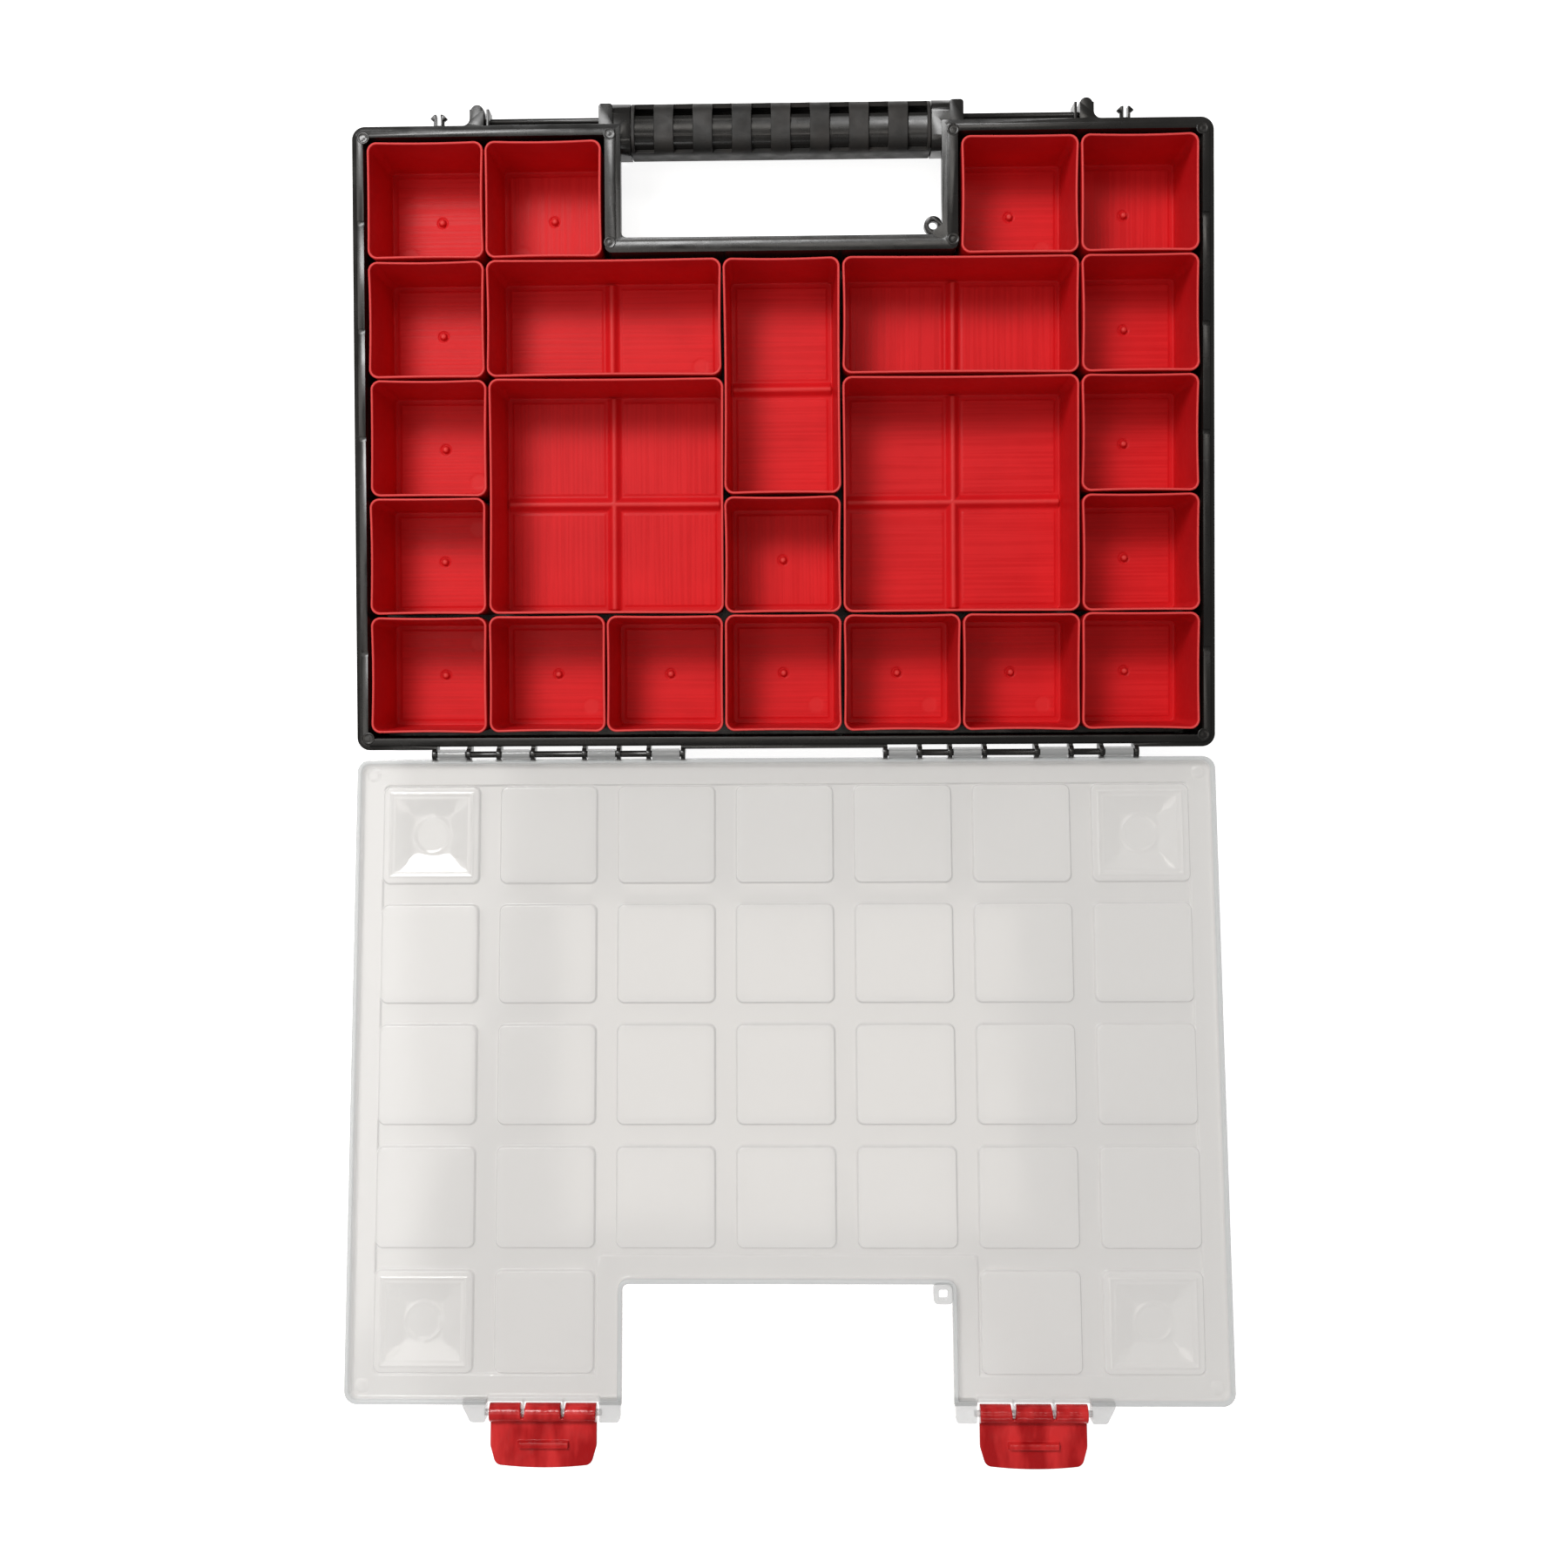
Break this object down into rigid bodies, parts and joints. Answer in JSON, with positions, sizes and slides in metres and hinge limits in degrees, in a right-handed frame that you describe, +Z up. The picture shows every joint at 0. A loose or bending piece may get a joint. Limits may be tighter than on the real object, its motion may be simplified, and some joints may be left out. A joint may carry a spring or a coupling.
{
  "type": "parts organizer",
  "caption": "Flat carry case with a black tray of lift-out red bins, a clear hinged lid lying open, two snap latches and a ribbed front handle.",
  "frame": {"origin": "under the middle of the bin grid, on the plane that the feet stand on", "axes": "+X along the hinge to the right, +Y towards the carry handle, +Z up; the lid lies open towards -Y"},
  "size_m": [0.3992, 0.6236, 0.0787],
  "materials": {
    "tray_black": "injection-moulded black polypropylene, satin",
    "grip_black": "matt soft-touch black",
    "lid_clear": "translucent natural polypropylene, satin",
    "latch_red": "glossy red polypropylene",
    "bin_red": "satin red polypropylene"
  },
  "bodies": {
    "tray": {"tray": "tray_black", "handle_grip": "grip_black"},
    "lid": {"lid": "lid_clear"},
    "latch_left": {"latch_left": "latch_red"},
    "latch_right": {"latch_right": "latch_red"},
    "small_bin_r1_c1": {"small_bin_r1_c1": "bin_red"},
    "small_bin_r1_c2": {"small_bin_r1_c2": "bin_red"},
    "small_bin_r1_c3": {"small_bin_r1_c3": "bin_red"},
    "small_bin_r1_c4": {"small_bin_r1_c4": "bin_red"},
    "small_bin_r1_c5": {"small_bin_r1_c5": "bin_red"},
    "small_bin_r1_c6": {"small_bin_r1_c6": "bin_red"},
    "small_bin_r1_c7": {"small_bin_r1_c7": "bin_red"},
    "small_bin_r2_c1": {"small_bin_r2_c1": "bin_red"},
    "small_bin_r2_c4": {"small_bin_r2_c4": "bin_red"},
    "small_bin_r2_c7": {"small_bin_r2_c7": "bin_red"},
    "small_bin_r3_c1": {"small_bin_r3_c1": "bin_red"},
    "small_bin_r3_c7": {"small_bin_r3_c7": "bin_red"},
    "small_bin_r4_c1": {"small_bin_r4_c1": "bin_red"},
    "small_bin_r4_c7": {"small_bin_r4_c7": "bin_red"},
    "small_bin_r5_c1": {"small_bin_r5_c1": "bin_red"},
    "small_bin_r5_c2": {"small_bin_r5_c2": "bin_red"},
    "small_bin_r5_c6": {"small_bin_r5_c6": "bin_red"},
    "small_bin_r5_c7": {"small_bin_r5_c7": "bin_red"},
    "wide_bin_left": {"wide_bin_left": "bin_red"},
    "wide_bin_right": {"wide_bin_right": "bin_red"},
    "long_bin": {"long_bin": "bin_red"},
    "square_bin_left": {"square_bin_left": "bin_red"},
    "square_bin_right": {"square_bin_right": "bin_red"}
  },
  "joints": [
    {"name": "lid_hinge", "type": "hinge", "parent": "tray", "child": "lid", "pos_m": [0, -0.14735, 0.042], "axis": [1, 0, 0], "range_deg": [-173, 0]},
    {"name": "latch_left_hinge", "type": "hinge", "parent": "lid", "child": "latch_left", "pos_m": [-0.11, -0.44208, 0.07456], "axis": [1, 0, 0], "range_deg": [-90, 0]},
    {"name": "latch_right_hinge", "type": "hinge", "parent": "lid", "child": "latch_right", "pos_m": [0.11, -0.44208, 0.07456], "axis": [1, 0, 0], "range_deg": [-90, 0]},
    {"name": "small_bin_r1_c1_lift", "type": "slide", "parent": "tray", "child": "small_bin_r1_c1", "axis": [0, 0, 1], "range_m": [0, 0.06]},
    {"name": "small_bin_r1_c2_lift", "type": "slide", "parent": "tray", "child": "small_bin_r1_c2", "axis": [0, 0, 1], "range_m": [0, 0.06]},
    {"name": "small_bin_r1_c3_lift", "type": "slide", "parent": "tray", "child": "small_bin_r1_c3", "axis": [0, 0, 1], "range_m": [0, 0.06]},
    {"name": "small_bin_r1_c4_lift", "type": "slide", "parent": "tray", "child": "small_bin_r1_c4", "axis": [0, 0, 1], "range_m": [0, 0.06]},
    {"name": "small_bin_r1_c5_lift", "type": "slide", "parent": "tray", "child": "small_bin_r1_c5", "axis": [0, 0, 1], "range_m": [0, 0.06]},
    {"name": "small_bin_r1_c6_lift", "type": "slide", "parent": "tray", "child": "small_bin_r1_c6", "axis": [0, 0, 1], "range_m": [0, 0.06]},
    {"name": "small_bin_r1_c7_lift", "type": "slide", "parent": "tray", "child": "small_bin_r1_c7", "axis": [0, 0, 1], "range_m": [0, 0.06]},
    {"name": "small_bin_r2_c1_lift", "type": "slide", "parent": "tray", "child": "small_bin_r2_c1", "axis": [0, 0, 1], "range_m": [0, 0.06]},
    {"name": "small_bin_r2_c4_lift", "type": "slide", "parent": "tray", "child": "small_bin_r2_c4", "axis": [0, 0, 1], "range_m": [0, 0.06]},
    {"name": "small_bin_r2_c7_lift", "type": "slide", "parent": "tray", "child": "small_bin_r2_c7", "axis": [0, 0, 1], "range_m": [0, 0.06]},
    {"name": "small_bin_r3_c1_lift", "type": "slide", "parent": "tray", "child": "small_bin_r3_c1", "axis": [0, 0, 1], "range_m": [0, 0.06]},
    {"name": "small_bin_r3_c7_lift", "type": "slide", "parent": "tray", "child": "small_bin_r3_c7", "axis": [0, 0, 1], "range_m": [0, 0.06]},
    {"name": "small_bin_r4_c1_lift", "type": "slide", "parent": "tray", "child": "small_bin_r4_c1", "axis": [0, 0, 1], "range_m": [0, 0.06]},
    {"name": "small_bin_r4_c7_lift", "type": "slide", "parent": "tray", "child": "small_bin_r4_c7", "axis": [0, 0, 1], "range_m": [0, 0.06]},
    {"name": "small_bin_r5_c1_lift", "type": "slide", "parent": "tray", "child": "small_bin_r5_c1", "axis": [0, 0, 1], "range_m": [0, 0.06]},
    {"name": "small_bin_r5_c2_lift", "type": "slide", "parent": "tray", "child": "small_bin_r5_c2", "axis": [0, 0, 1], "range_m": [0, 0.06]},
    {"name": "small_bin_r5_c6_lift", "type": "slide", "parent": "tray", "child": "small_bin_r5_c6", "axis": [0, 0, 1], "range_m": [0, 0.06]},
    {"name": "small_bin_r5_c7_lift", "type": "slide", "parent": "tray", "child": "small_bin_r5_c7", "axis": [0, 0, 1], "range_m": [0, 0.06]},
    {"name": "wide_bin_left_lift", "type": "slide", "parent": "tray", "child": "wide_bin_left", "axis": [0, 0, 1], "range_m": [0, 0.06]},
    {"name": "wide_bin_right_lift", "type": "slide", "parent": "tray", "child": "wide_bin_right", "axis": [0, 0, 1], "range_m": [0, 0.06]},
    {"name": "long_bin_lift", "type": "slide", "parent": "tray", "child": "long_bin", "axis": [0, 0, 1], "range_m": [0, 0.06]},
    {"name": "square_bin_left_lift", "type": "slide", "parent": "tray", "child": "square_bin_left", "axis": [0, 0, 1], "range_m": [0, 0.06]},
    {"name": "square_bin_right_lift", "type": "slide", "parent": "tray", "child": "square_bin_right", "axis": [0, 0, 1], "range_m": [0, 0.06]}
  ]
}
